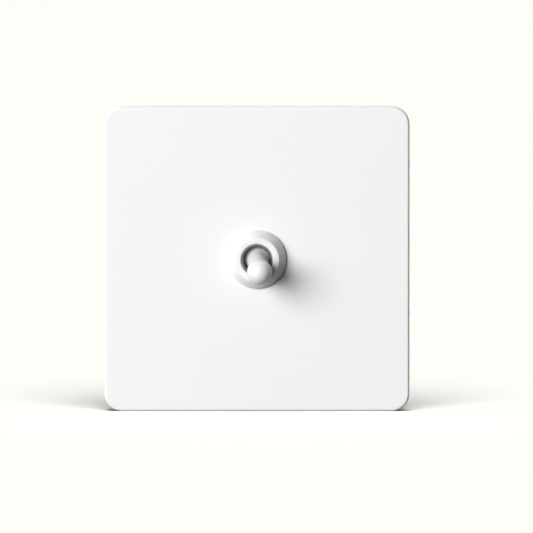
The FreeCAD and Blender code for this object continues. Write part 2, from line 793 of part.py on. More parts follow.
def tip_rivet(body, name, z, face, sheet_front, sheet_rear, toward, tail):
    """Contact rivet about an axis along Y: domed head, stem, flat tail."""
    sk = new_sketch(body, name, "XY_Plane", z)
    head_at = sheet_rear if toward > 0 else sheet_front
    tail_at = sheet_front if toward > 0 else sheet_rear
    outline(
        sk,
        [
            (0, face),
            (S["tip_r"] * 0.55, face),
            (S["tip_r"], face - 0.2 * toward),
            (S["tip_r"], head_at),
            (S["stem_r"], head_at),
            (S["stem_r"], tail_at),
            (S["stem_r"] * 1.35, tail_at),
            (S["stem_r"] * 1.35, tail_at - tail * toward),
            (0, tail_at - tail * toward),
        ],
    )
    return spin(body, sk, name + "_turned")


upper = new_body("moving_tip_upper", hub, -S["rocker_rest"])
tip_rivet(upper, "moving_rivet_upper", S["tip_z"], 0.3, -0.94, -0.14, 1, 0.25)
lower = new_body("moving_tip_lower", hub, -S["rocker_rest"])
tip_rivet(lower, "moving_rivet_lower", -S["tip_z"], 0.3, -0.94, -0.14, 1, 0.25)
node(group("moving_tips", [upper, lower]))

# ------------------------------------------ common saddle and fixed contacts
body = new_body("common_saddle")
sk = new_sketch(body, "saddle_profile", "XZ_Plane", -step)
rectangle(sk, -6.0, 6.0, -2.5, 2.5)
pad(body, sk, "saddle_foot", 0.8)
sk = new_sketch(body, "saddle_ears", "XZ_Plane", -step)
for sx in (1, -1):
    rectangle(sk, sx * 5.2, sx * 6.0, -2.0, 2.0)
pad(body, sk, "saddle_ear_sheets", step - S["rocker_y"] + 1.5)
sk = new_sketch(body, "saddle_post", "XZ_Plane", -seat)
rectangle(sk, -1.5, 1.5, -1.0, 1.0)
pad(body, sk, "saddle_post_pad", S["floor_thick"] + 0.3)
sk = new_sketch(body, "saddle_ear_holes", "YZ_Plane")
ring(sk, S["rocker_y"], 0, S["pin_r"] + S["pin_run"])
pocket(body, sk, "saddle_ear_holes_cut", 20, both=True)
node(body)

for name, sign in (("line1_contact", 1), ("line2_contact", -1)):
    body = new_body(name)
    sk = new_sketch(body, name + "_foot", "XZ_Plane", -step)
    rectangle(sk, -3.0, 3.0, sign * 5.3, sign * 11.3)
    pad(body, sk, name + "_sheet", 1.0)
    sk = new_sketch(body, name + "_post", "XZ_Plane", -seat)
    c = sign * S["block_pitch"]
    rectangle(sk, -1.5, 1.5, c - 1.0, c + 1.0)
    pad(body, sk, name + "_post_pad", S["floor_thick"] + 0.3)
    sk = new_sketch(body, name + "_hole", "XZ_Plane", -step)
    ring(sk, 0, sign * S["tip_z"], S["stem_r"] + 0.02)
    pocket(body, sk, name + "_hole_cut", 2.0, both=True)
    node(body)

piece = new_body("fixed_tip_upper", (0, step, S["tip_z"]))
sk = new_sketch(piece, "fixed_rivet", "XY_Plane")
outline(
    sk,
    [
        (0, -1.45),
        (S["tip_r"] * 0.55, -1.45),
        (S["tip_r"], -1.25),
        (S["tip_r"], -1.0),
        (S["stem_r"], -1.0),
        (S["stem_r"], -0.02),
        (0, -0.02),
    ],
)
spin(piece, sk, "fixed_rivet_turned")
node(group("fixed_tips", [piece, mirrored(piece, "fixed_tip_lower", (0, 0, 1))]))

# -------------------------------------------- terminal blocks, clamp screws


def clamp_screw(name, at, tip, neck, head):
    """Clamp screw about its own X axis: tip, shank to neck, slotted head."""
    body = new_body(name, at)
    sk = new_sketch(body, name + "_profile", "XY_Plane")
    r = S["clamp_r"]
    outline(
        sk,
        [
            (tip, 0),
            (tip, r * 0.75),
            (tip + 0.35, r),
            (neck, r),
            (neck, 2.0),
            (head - 0.3, 2.0),
            (head, 1.7),
            (head, 0),
        ],
    )
    spin(body, sk, name + "_turned", "H_Axis")
    sk = new_sketch(body, name + "_slot", "YZ_Plane", head)
    rectangle(sk, -3, 3, -0.35, 0.35)
    pocket(body, sk, name + "_slot_cut", 1.8, both=True)
    return body


for name, k in (("common", 0), ("line1", 1), ("line2", -1)):
    c = k * S["block_pitch"]
    body = new_body(name + "_block", (0, 0, c))
    sk = new_sketch(body, name + "_block_outline", "XZ_Plane", -(seat + S["block_len"]))
    bw, bt = S["block_w"] / 2, S["block_tall"] / 2
    rectangle(sk, -bw, bw, -bt, bt)
    pad(body, sk, name + "_block_pad", S["block_len"])
    sk = new_sketch(body, name + "_wire_bore", "XZ_Plane", -(seat + S["block_len"]))
    ring(sk, 0, 0, S["wire_r"])
    pocket(body, sk, name + "_wire_bore_cut", S["wire_len"], reverse=True)
    sk = new_sketch(body, name + "_tapped", "YZ_Plane")
    ring(sk, S["clamp_y"], 0, S["tap_r"])
    pocket(body, sk, name + "_tapped_cut", 8, reverse=True)
    node(body)
for name, k in (("common", 0), ("line1", 1), ("line2", -1)):
    c = k * S["block_pitch"]
    node(clamp_screw(name + "_screw", (0, S["clamp_y"], c), S["wire_r"] + 0.15, 6.4, 8.4))

# ------------------------------------------------------------ earth terminal
yoke_rear = -S["yoke_back"]
ex, ez = S["earth_x"], -S["earth_z"]
body = new_body("earth_block", (ex, 0, ez))
sk = new_sketch(body, "earth_outline", "XZ_Plane", -(yoke_rear + S["earth_len"]))
w = S["earth_w"] / 2
rectangle(sk, -w, w, -w, w)
pad(body, sk, "earth_block_pad", S["earth_len"])
sk = new_sketch(body, "earth_wire_bore", "XY_Plane", -w)
ring(sk, 0, 3.4, S["wire_r"])
pocket(body, sk, "earth_wire_bore_cut", 6.0, reverse=True)
sk = new_sketch(body, "earth_tapped", "XZ_Plane", -(yoke_rear + S["earth_len"]))
ring(sk, 0, 0, S["tap_r"])
pocket(body, sk, "earth_tapped_cut", 2.7, reverse=True)
sk = new_sketch(body, "earth_rivet_hole", "XZ_Plane", -yoke_rear)
ring(sk, 0, 0, 1.52)
pocket(body, sk, "earth_rivet_hole_cut", 1.5, reverse=False)
node(body)

body = new_body("earth_rivet", (ex, 0, ez))
sk = new_sketch(body, "earth_rivet_profile", "XY_Plane")
outline(
    sk,
    [
        (0, yoke_front - 0.7),
        (1.6, yoke_front - 0.7),
        (2.4, yoke_front - 0.3),
        (2.4, yoke_front),
        (1.5, yoke_front),
        (1.5, yoke_rear + 1.4),
        (0, yoke_rear + 1.4),
    ],
)
spin(body, sk, "earth_rivet_turned")
node(body)

body = new_body("earth_screw", (ex, 0, ez))
sk = new_sketch(body, "earth_screw_profile", "XY_Plane")
r = S["clamp_r"]
tip = 3.4 + S["wire_r"] + 0.15
outline(
    sk,
    [
        (0, tip),
        (r * 0.75, tip),
        (r, tip + 0.35),
        (r, 8.4),
        (2.4, 8.4),
        (2.4, 9.9),
        (2.1, 10.2),
        (0, 10.2),
    ],
)
spin(body, sk, "earth_screw_turned")
sk = new_sketch(body, "earth_screw_slot", "XZ_Plane", -10.2)
rectangle(sk, -3, 3, -0.35, 0.35)
pocket(body, sk, "earth_screw_slot_cut", 1.8, both=True)
node(body)

# -------------------------------------------------------- checks and export
doc.recompute()
for obj in doc.Objects:
    bad = [s for s in obj.State if s in ("Invalid", "Error")]
    if bad:
        raise RuntimeError("%s: %s" % (obj.Name, bad))
os.makedirs("parts", exist_ok=True)
for obj in NODES:
    shape = obj.Shape
    if shape.isNull() or not shape.isValid() or not shape.Solids:
        raise RuntimeError("%s has no valid solid" % obj.Label)
    shape.exportStep("parts/%s.step" % obj.Label)
    box = shape.BoundBox
    print(
        "%-16s solids %d volume %9.3f  x %7.2f %7.2f  y %7.2f %7.2f  z %7.2f %7.2f"
        % (obj.Label, len(shape.Solids), shape.Volume, box.XMin, box.XMax, box.YMin, box.YMax, box.ZMin, box.ZMax)
    )
print("nodes:", len(NODES))
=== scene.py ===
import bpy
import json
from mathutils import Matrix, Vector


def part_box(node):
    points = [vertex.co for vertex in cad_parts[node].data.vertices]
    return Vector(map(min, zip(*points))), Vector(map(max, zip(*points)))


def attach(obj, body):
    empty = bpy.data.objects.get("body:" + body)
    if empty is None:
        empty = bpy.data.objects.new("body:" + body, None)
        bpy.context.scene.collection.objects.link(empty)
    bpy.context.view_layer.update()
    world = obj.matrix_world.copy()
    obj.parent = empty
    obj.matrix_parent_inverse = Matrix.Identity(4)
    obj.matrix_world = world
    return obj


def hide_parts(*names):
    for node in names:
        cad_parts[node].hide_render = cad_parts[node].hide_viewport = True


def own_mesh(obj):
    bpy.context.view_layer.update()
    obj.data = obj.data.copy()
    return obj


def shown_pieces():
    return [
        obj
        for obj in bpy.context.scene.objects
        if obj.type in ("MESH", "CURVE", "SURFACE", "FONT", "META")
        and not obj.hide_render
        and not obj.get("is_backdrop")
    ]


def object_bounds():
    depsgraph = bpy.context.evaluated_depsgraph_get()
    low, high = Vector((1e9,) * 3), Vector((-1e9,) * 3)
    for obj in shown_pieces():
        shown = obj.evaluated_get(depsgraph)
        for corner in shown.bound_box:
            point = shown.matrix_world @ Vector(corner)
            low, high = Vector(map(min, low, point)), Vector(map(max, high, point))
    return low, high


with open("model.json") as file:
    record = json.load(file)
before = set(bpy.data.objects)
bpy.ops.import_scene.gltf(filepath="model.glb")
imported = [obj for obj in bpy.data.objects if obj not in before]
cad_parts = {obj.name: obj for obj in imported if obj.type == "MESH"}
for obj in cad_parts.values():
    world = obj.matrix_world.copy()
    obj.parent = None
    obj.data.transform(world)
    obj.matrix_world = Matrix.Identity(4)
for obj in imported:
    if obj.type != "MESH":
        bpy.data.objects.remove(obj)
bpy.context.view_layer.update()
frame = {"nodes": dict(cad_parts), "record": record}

import json
import math
import random

import bpy
import bmesh
from mathutils import Matrix, Vector

random.seed(7)
scene = bpy.context.scene
scene.view_settings.view_transform = "Standard"
scene.view_settings.look = "None"
scene.view_settings.exposure = 0.0
scene.view_settings.gamma = 1.0
MM = 0.001


# ------------------------------------------------------------- node helpers


def new_material(name):
    m = bpy.data.materials.new(name)
    m.use_nodes = True
    nt = m.node_tree
    nt.nodes.clear()
    out = nt.nodes.new("ShaderNodeOutputMaterial")
    bsdf = nt.nodes.new("ShaderNodeBsdfPrincipled")
    nt.links.new(bsdf.outputs["BSDF"], out.inputs["Surface"])
    coord = nt.nodes.new("ShaderNodeTexCoord")
    return m, nt, bsdf, coord.outputs["Object"]


def noise(nt, vec, scale, detail=3.0, rough=0.5, distortion=0.0):
    n = nt.nodes.new("ShaderNodeTexNoise")
    n.inputs["Scale"].default_value = scale
    n.inputs["Detail"].default_value = detail
    n.inputs["Roughness"].default_value = rough
    n.inputs["Distortion"].default_value = distortion
    nt.links.new(vec, n.inputs["Vector"])
    return n.outputs["Fac"]


def stretch(nt, vec, scale):
    n = nt.nodes.new("ShaderNodeMapping")
    n.inputs["Scale"].default_value = scale
    nt.links.new(vec, n.inputs["Vector"])
    return n.outputs["Vector"]


def span(nt, value, low, high, a=0.0, b=1.0):
    n = nt.nodes.new("ShaderNodeMapRange")
    n.inputs["From Min"].default_value = a
    n.inputs["From Max"].default_value = b
    n.inputs["To Min"].default_value = low
    n.inputs["To Max"].default_value = high
    nt.links.new(value, n.inputs["Value"])
    return n.outputs["Result"]


def blend_colour(nt, fac, one, two):
    n = nt.nodes.new("ShaderNodeMix")
    n.data_type = "RGBA"
    for key, v in (("A", one), ("B", two)):
        socket = [s for s in n.inputs if s.name == key and s.type == "RGBA"][0]
        if isinstance(v, bpy.types.NodeSocket):
            nt.links.new(v, socket)
        else:
            socket.default_value = (*v, 1.0)
    nt.links.new(fac, [s for s in n.inputs if s.name == "Factor" and s.type == "VALUE"][0])
    return [s for s in n.outputs if s.type == "RGBA"][0]


def maths(nt, op, a, b=None):
    n = nt.nodes.new("ShaderNodeMath")
    n.operation = op
    for i, v in enumerate((a, b)):
        if v is None:
            continue
        if isinstance(v, bpy.types.NodeSocket):
            nt.links.new(v, n.inputs[i])
        else:
            n.inputs[i].default_value = v
    return n.outputs[0]


def bump(nt, height, distance, strength=1.0, normal=None):
    n = nt.nodes.new("ShaderNodeBump")
    n.inputs["Strength"].default_value = strength
    n.inputs["Distance"].default_value = distance
    nt.links.new(height, n.inputs["Height"])
    if normal is not None:
        nt.links.new(normal, n.inputs["Normal"])
    return n.outputs["Normal"]


def rings(nt, vec, pitch, axis="Y", distortion=0.6, detail_scale=1.0):
    """Turning marks: fine rings about an axis, pitch in metres."""
    n = nt.nodes.new("ShaderNodeTexWave")
    n.wave_type = "RINGS"
    n.rings_direction = axis
    n.inputs["Scale"].default_value = math.tau / (20.0 * pitch)
    n.inputs["Distortion"].default_value = distortion
    n.inputs["Detail"].default_value = 3.0
    n.inputs["Detail Scale"].default_value = detail_scale
    nt.links.new(vec, n.inputs["Vector"])
    return n.outputs["Fac"]


def scratches(nt, vec, scale, threshold=0.62):
    """Sparse hairlines: thin crests of a strongly stretched noise."""
    n = nt.nodes.new("ShaderNodeTexNoise")
    n.inputs["Scale"].default_value = scale
    n.inputs["Detail"].default_value = 6.0
    n.inputs["Roughness"].default_value = 0.75
    nt.links.new(vec, n.inputs["Vector"])
    return span(nt, n.outputs["Fac"], 0.0, 1.0, threshold, threshold + 0.05)


# ---------------------------------------------------------------- materials


def painted_plate():
    m, nt, b, v = new_material("plate_paint_mat")
    cloud = noise(nt, v, 22.0, 2.0)
    tone = blend_colour(nt, cloud, (0.795, 0.795, 0.795), (0.812, 0.812, 0.812))
    speck = span(nt, noise(nt, v, 2600.0, 2.0), 0.0, 1.0, 0.70, 0.76)
    tone = blend_colour(nt, maths(nt, "MULTIPLY", speck, 0.25), tone, (0.70, 0.70, 0.70))
    nt.links.new(tone, b.inputs["Base Color"])
    nt.links.new(span(nt, noise(nt, v, 900.0, 4.0), 0.40, 0.52, 0.3, 0.7), b.inputs["Roughness"])
    b.inputs["Specular IOR Level"].default_value = 0.35
    peel = bump(nt, noise(nt, v, 620.0, 2.0), 0.000030, 0.5)
    fine = bump(nt, noise(nt, v, 5200.0, 3.0), 0.000005, 0.5, peel)
    nt.links.new(fine, b.inputs["Normal"])
    return m


def coated(name, colour, rough=0.36, marks=None):
    """Satin white coating over turned metal: the turning marks show through
    faintly, with a fine grain and a few rubbed hairlines."""
    m, nt, b, v = new_material(name)
    cloud = noise(nt, v, 260.0, 3.0)
    tone = blend_colour(nt, cloud, tuple(c * 0.985 for c in colour), colour)
    rub = span(nt, noise(nt, v, 1500.0, 5.0, 0.7), 0.0, 1.0, 0.66, 0.74)
    tone = blend_colour(nt, maths(nt, "MULTIPLY", rub, 0.12), tone, tuple(c * 0.80 for c in colour))
    nt.links.new(tone, b.inputs["Base Color"])
    gloss = span(nt, noise(nt, v, 1100.0, 4.0), rough - 0.05, rough + 0.07, 0.3, 0.7)
    normal = None
    if marks:
        mark = rings(nt, v, marks, "Y")
        normal = bump(nt, mark, 0.0010 * MM, 0.5)
        gloss = maths(nt, "ADD", gloss, maths(nt, "MULTIPLY", mark, 0.03))
    line = scratches(nt, stretch(nt, v, (700.0, 90.0, 2400.0)), 1.0, 0.66)
    gloss = maths(nt, "ADD", gloss, maths(nt, "MULTIPLY", line, 0.08))
    peel = bump(nt, noise(nt, v, 1300.0, 2.0), 0.006 * MM, 0.5, normal)
    fine = bump(nt, noise(nt, v, 7000.0, 3.0), 0.0012 * MM, 0.5, peel)
    nt.links.new(fine, b.inputs["Normal"])
    nt.links.new(gloss, b.inputs["Roughness"])
    b.inputs["Specular IOR Level"].default_value = 0.5
    b.inputs["Coat Weight"].default_value = 0.15
    b.inputs["Coat Roughness"].default_value = 0.25
    return m


def metal(name, colour, rough, spread=0.06, pitch=None, axis="Y", grain=None, tint=0.06,
          hair=0.0, metallic=1.0, bump_mm=0.004, aniso=0.0, cloud_scale=120.0):
    """colour varies a little in clouds; pitch gives turning marks, grain a
    stretched brushed grain, hair sparse hairline scratches."""
    m, nt, b, v = new_material(name)
    cloud = noise(nt, v, cloud_scale, 4.0, 0.6)
    dark = tuple(c * (1.0 - tint) for c in colour)
    nt.links.new(blend_colour(nt, cloud, dark, colour), b.inputs["Base Color"])
    b.inputs["Metallic"].default_value = metallic
    rough_value = span(nt, noise(nt, v, cloud_scale * 6.0, 4.0), rough - spread, rough + spread, 0.3, 0.7)
    normal = None
    if pitch:
        mark = rings(nt, v, pitch, axis)
        rough_value = maths(nt, "ADD", rough_value, maths(nt, "MULTIPLY", mark, 0.04))
        normal = bump(nt, mark, bump_mm * MM, 0.6, normal)
    if grain:
        line = noise(nt, stretch(nt, v, grain), 1.0, 5.0, 0.7)
        rough_value = maths(nt, "ADD", rough_value, span(nt, line, -0.05, 0.08, 0.3, 0.7))
        normal = bump(nt, line, bump_mm * 0.25 * MM, 0.5, normal)
    if hair:
        line = scratches(nt, stretch(nt, v, (90.0, 2400.0, 2400.0)), 1.0)
        rough_value = maths(nt, "ADD", rough_value, maths(nt, "MULTIPLY", line, hair))
        normal = bump(nt, line, 0.002 * MM, 0.4, normal)
    fine = bump(nt, noise(nt, v, 7000.0, 3.0), 0.0015 * MM, 0.5, normal)
    nt.links.new(fine, b.inputs["Normal"])
    nt.links.new(rough_value, b.inputs["Roughness"])
    b.inputs["Anisotropic"].default_value = aniso
    return m


def zinc(name, colour=(0.60, 0.62, 0.64), rough=0.34, iris=0.05):
    """Bright zinc plating: even grey with a slight blue and yellow cast, a
    faint rolled grain and a few dull spots."""
    m, nt, b, v = new_material(name)
    cool = tuple(c * f for c, f in zip(colour, (0.97, 1.0, 1.03)))
    warm = tuple(c * f for c, f in zip(colour, (1.02, 1.0, 0.96)))
    tone = blend_colour(nt, noise(nt, v, 38.0, 2.0), cool, warm)
    spot = span(nt, noise(nt, v, 330.0, 4.0, 0.6), 0.0, 1.0, 0.60, 0.74)
    tone = blend_colour(nt, maths(nt, "MULTIPLY", spot, iris * 4.0), tone, tuple(c * 0.80 for c in colour))
    nt.links.new(tone, b.inputs["Base Color"])
    b.inputs["Metallic"].default_value = 1.0
    grain = noise(nt, stretch(nt, v, (220.0, 2600.0, 2600.0)), 1.0, 4.0, 0.6)
    gloss = maths(nt, "ADD", span(nt, grain, rough - 0.04, rough + 0.06, 0.3, 0.7), maths(nt, "MULTIPLY", spot, 0.05))
    nt.links.new(gloss, b.inputs["Roughness"])
    n1 = bump(nt, grain, 0.0018 * MM, 0.5)
    n2 = bump(nt, noise(nt, v, 5200.0, 3.0), 0.0010 * MM, 0.5, n1)
    nt.links.new(n2, b.inputs["Normal"])
    return m


def plastic(name, colour, rough=0.45, grain_scale=1800.0, grain_mm=0.008, fleck=None, fleck_scale=900.0,
            waxy=0.0, fibre=False):
    m, nt, b, v = new_material(name)
    flow = noise(nt, v, 55.0, 3.0, 0.5, 1.2)
    lighter = tuple(min(1.0, c * 1.18 + 0.004) for c in colour)
    tone = blend_colour(nt, flow, colour, lighter)
    if fleck:
        spots = span(nt, noise(nt, v, fleck_scale, 3.0, 0.7), 0.0, 1.0, 0.60, 0.68)
        tone = blend_colour(nt, spots, tone, fleck)
    if fibre:
        hairs = noise(nt, stretch(nt, v, (260.0, 1200.0, 2600.0)), 1.0, 6.0, 0.8)
        tone = blend_colour(nt, span(nt, hairs, 0.0, 1.0, 0.42, 0.62), tone, tuple(c * 1.6 for c in colour))
    nt.links.new(tone, b.inputs["Base Color"])
    nt.links.new(span(nt, noise(nt, v, grain_scale * 0.5, 4.0), rough - 0.08, rough + 0.12, 0.3, 0.7), b.inputs["Roughness"])
    if waxy:
        b.inputs["Subsurface Weight"].default_value = waxy
        b.inputs["Subsurface Radius"].default_value = (0.0010, 0.0009, 0.0007)
        b.inputs["Subsurface Scale"].default_value = 1.0
    n1 = bump(nt, noise(nt, v, grain_scale, 3.0), grain_mm * MM, 0.5)
    n2 = bump(nt, flow, 0.008 * MM, 0.3, n1)
    nt.links.new(n2, b.inputs["Normal"])
    return m


MATERIALS = {
    "plate_paint": painted_plate(),
    "collar_paint": coated("collar_paint_mat", (0.78, 0.78, 0.78), 0.38, marks=0.00018),
    "lever_paint": coated("lever_paint_mat", (0.78, 0.78, 0.78), 0.36, marks=0.00025),
    "bushing_nickel": metal("bushing_nickel_mat", (0.46, 0.455, 0.45), 0.50, 0.06, pitch=0.00012, tint=0.12, bump_mm=0.001),
    "nut_zinc": zinc("nut_zinc_mat"),
    "yoke_zinc": zinc("yoke_zinc_mat", (0.74, 0.76, 0.78), 0.46, 0.06),
    "spring_steel": metal("spring_steel_mat", (0.50, 0.51, 0.53), 0.38, 0.07, grain=(300.0, 4000.0, 300.0), tint=0.25),
    "rivet_steel": metal("rivet_steel_mat", (0.55, 0.56, 0.58), 0.36, 0.10, grain=(900.0, 900.0, 900.0), tint=0.22),
    "screw_zinc": zinc("screw_zinc_mat", (0.62, 0.63, 0.64), 0.30, 0.04),
    "retainer_nylon": plastic("retainer_nylon_mat", (0.74, 0.72, 0.66), 0.42, waxy=0.2),
    "frame_steel": zinc("frame_steel_mat", (0.62, 0.63, 0.65), 0.48, 0.08),
    "insulator_fibre": plastic("insulator_fibre_mat", (0.20, 0.050, 0.032), 0.62, 2400.0, 0.02, fibre=True),
    "base_moulding": plastic("base_moulding_mat", (0.020, 0.020, 0.022), 0.40, 1600.0, 0.0022,
                             fleck=(0.035, 0.034, 0.033), fleck_scale=1300.0),
    "pin_steel": metal("pin_steel_mat", (0.55, 0.56, 0.58), 0.22, 0.05, grain=(300.0, 5000.0, 5000.0), tint=0.12),
    "plunger_nylon": plastic("plunger_nylon_mat", (0.78, 0.76, 0.70), 0.38, waxy=0.2),
    "contact_copper": metal("contact_copper_mat", (0.83, 0.47, 0.30), 0.30, 0.10, grain=(5000.0, 5000.0, 260.0), tint=0.28),
    "contact_silver": metal("contact_silver_mat", (0.82, 0.81, 0.78), 0.24, 0.08, pitch=0.00010, tint=0.12),
    "terminal_brass": metal("terminal_brass_mat", (0.80, 0.61, 0.30), 0.38, 0.07, grain=(260.0, 5000.0, 3500.0), tint=0.20),
}
slot_of = {s["node"]: s["material_slot"] for s in frame["record"]["subparts"]}
for name, obj in frame["nodes"].items():
    mat = MATERIALS[slot_of[name]]
    if not obj.material_slots:
        obj.data.materials.append(mat)
    for s in obj.material_slots:
        s.link = "OBJECT"
        s.material = mat

# -------------------------------------------------------------- fine pieces


def turned(bm, profile, axis="Y", at=(0.0, 0.0, 0.0), segments=96, ring=False, thread=None, matrix=None):
    """Turns a profile of (along, radius) points, in mm, about an axis. A ring
    profile closes on itself; otherwise it starts and ends on the axis.
    thread = (from, to, depth, pitch, least radius) cuts a helix there."""
    profile = [p for i, p in enumerate(profile) if i == 0 or math.dist(p, profile[i - 1]) > 1e-6]
    points = []
    loop = list(profile) + ([profile[0]] if ring else [])
    for (a0, r0), (a1, r1) in zip(loop, loop[1:]):
        points.append((a0, r0, False))
        if thread and abs(r0 - r1) < 1e-6 and min(a0, a1) <= thread[0] + 1e-6 and max(a0, a1) >= thread[1] - 1e-6 and r0 > thread[4]:
            rows = int(round(abs(a1 - a0) / thread[3] * 10))
            for i in range(1, rows):
                points.append((a0 + (a1 - a0) * i / rows, r0, True))
    if not ring:
        points.append((loop[-1][0], loop[-1][1], False))

    def place(a, r, t):
        c, s_ = r * math.cos(t), r * math.sin(t)
        v = Vector((at[0] + c, at[1] + a, at[2] + s_)) if axis == "Y" else Vector((at[0] + a, at[1] + c, at[2] + s_))
        v = v * MM
        return matrix @ v if matrix is not None else v

    rows = []
    for a, r, cut in points:
        if r < 1e-9:
            rows.append([bm.verts.new(place(a, 0.0, 0.0))])
            continue
        row = []
        for i in range(segments):
            t = math.tau * i / segments
            rr = r
            if cut:
                phase = (a / thread[3] - i / segments) % 1.0
                deep = min(1.0, max(0.0, (1.0 - abs(2.0 * phase - 1.0) - 0.14) / 0.74))
                fade = min(1.0, (a - thread[0]) / thread[3], (thread[1] - a) / thread[3])
                rr = r - thread[2] * deep * max(0.0, fade)
            row.append(bm.verts.new(place(a, rr, t)))
        rows.append(row)
    pairs = list(zip(rows, rows[1:])) + ([(rows[-1], rows[0])] if ring else [])
    for one, two in pairs:
        for i in range(segments):
            k = (i + 1) % segments
            if len(one) == 1:
                bm.faces.new((one[0], two[i], two[k]))
            elif len(two) == 1:
                bm.faces.new((one[i], two[0], one[k]))
            else:
                bm.faces.new((one[i], two[i], two[k], one[k]))


def arc(cx, cy, r, a0, a1, count):
    """Points (along, radius) on an arc, angles in degrees."""
    out = []
    for i in range(count + 1):
        t = math.radians(a0 + (a1 - a0) * i / count)
        out.append((cx + r * math.cos(t), cy + r * math.sin(t)))
    return out


def make(name, bm):
    bmesh.ops.recalc_face_normals(bm, faces=bm.faces)
    mesh = bpy.data.meshes.new(name)
    bm.to_mesh(mesh)
    bm.free()
    obj = bpy.data.objects.new(name, mesh)
    scene.collection.objects.link(obj)
    return obj


def combine(obj, tool_bm, operation):
    """Booleans a tool mesh with the piece and keeps only the result."""
    tool = make(obj.name + "_tool", tool_bm)
    mod = obj.modifiers.new("cut", "BOOLEAN")
    mod.operation = operation
    mod.solver = "EXACT"
    mod.object = tool
    deps = bpy.context.evaluated_depsgraph_get()
    mesh = bpy.data.meshes.new_from_object(obj.evaluated_get(deps))
    obj.modifiers.clear()
    old, obj.data = obj.data, mesh
    bpy.data.meshes.remove(old)
    bpy.data.objects.remove(tool)


def box_mesh(lo, hi):
    bm = bmesh.new()
    bmesh.ops.create_cube(bm, size=1.0)
    for v in bm.verts:
        v.co = Vector([(lo[i] + hi[i]) / 2 + v.co[i] * (hi[i] - lo[i]) for i in range(3)]) * MM
    return bm


def dress(obj, body, node, angle=32.0):
    """Smooths the piece, puts its finish on and hides its plain CAD solid."""
    mesh = obj.data
    for p in mesh.polygons:
        p.use_smooth = True
    mesh.set_sharp_from_angle(angle=math.radians(angle))
    mesh.materials.clear()
    mesh.materials.append(MATERIALS[slot_of[node]])
    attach(obj, body)
    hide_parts(node)
    return obj


# dress nut: cone with rounded rim edges
bm = bmesh.new()
cone = math.atan2(3.1 - 0.2, 8.1 - 5.95)
profile = [(-5.0, 6.0), (-5.0, 8.13)] + arc(-5.12, 8.13, 0.12, 0, 90, 4)
profile += [(-5.80, 8.25)] + arc(-5.80, 8.10, 0.15, 90, 130, 4)
tip = arc(-8.55, 6.03, 0.45, 125, 180, 10)
profile += tip
profile += [(-9.0, 4.88)] + arc(-8.60, 4.88, 0.40, 180, 270, 10)
profile += [(-8.1, 4.48), (-8.1, 6.0)]
turned(bm, profile, segments=288, ring=True)
dress(make("dress_nut", bm), "fixed", "collar_nut", 40.0)

# threaded bushing with a flared mouth and the holes for the lever's pin
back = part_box("bushing")[1][1] / MM
flange = back - 1.2
bm = bmesh.new()
turned(bm, [(back - 0.15, 3.65), (back, 3.80), (back, 7.15), (back - 0.15, 7.30), (flange, 7.30), (flange, 5.95), (-7.6, 5.95),
            (-8.0, 5.55), (-8.0, 4.38), (-7.92, 4.27), (-5.9, 3.65)],
       segments=160, ring=True, thread=(-7.6, flange, 0.42, 0.75, 5.0))
bush = make("bushing_turned", bm)
bm = bmesh.new()
turned(bm, [(-9.0, 0.0), (-9.0, 0.82), (9.0, 0.82), (9.0, 0.0)], axis="X", at=(0.0, -3.7, 0.0), segments=48)
combine(bush, bm, "DIFFERENCE")
dress(bush, "fixed", "bushing")

# lever: leaning handle with its round end, pivot ball, drilled tail
tilt = Matrix.Translation((0.0, -3.7 * MM, 0.0)) @ Matrix.Rotation(math.radians(10.25), 4, "X")
lean = tilt @ Matrix.Rotation(math.radians(3.0), 4, "Z")
tip_r, neck_r, root_r, ball_r, long = 3.53, 2.5, 2.93, 3.5, 15.3
turn_end = math.degrees(math.asin(neck_r / tip_r))
bm = bmesh.new()
fillet = 0.7
fx = -long + math.sqrt((tip_r + fillet) ** 2 - (neck_r + fillet) ** 2)
fa = math.degrees(math.asin((neck_r + fillet) / (tip_r + fillet)))
profile = arc(-long, 0.0, tip_r, 180, fa, 56)
profile[0] = (-long - tip_r, 0.0)
profile += arc(fx, neck_r + fillet, fillet, 180 + fa, 270, 10)[1:]
junction = math.sqrt(ball_r ** 2 - root_r ** 2)
profile += [(-junction - 0.30, root_r - 0.01), (-junction - 0.10, root_r + 0.03)]
profile += [(-x, y) for x, y in arc(0.0, 0.0, ball_r, math.degrees(math.asin((root_r + 0.10) / ball_r)), 180, 48)]
profile[-1] = (ball_r, 0.0)
turned(bm, profile, segments=144, matrix=lean)
lever = make("lever_turned", bm)
bm = bmesh.new()
turned(bm, [(0.6, 0.0), (0.6, 2.2), (7.35, 2.2), (7.5, 2.05), (7.5, 0.0)], segments=96, matrix=tilt)
combine(lever, bm, "UNION")
bm = bmesh.new()
turned(bm, [(2.0, 0.0), (2.0, 1.45), (7.8, 1.45), (7.8, 0.0)], segments=90, matrix=tilt)
combine(lever, bm, "DIFFERENCE")
bm = bmesh.new()
turned(bm, [(-9.0, 0.0), (-9.0, 0.85), (9.0, 0.85), (9.0, 0.0)], axis="X", at=(0.0, -3.7, 0.0), segments=48)
combine(lever, bm, "DIFFERENCE")
dress(lever, "toggle", "lever")

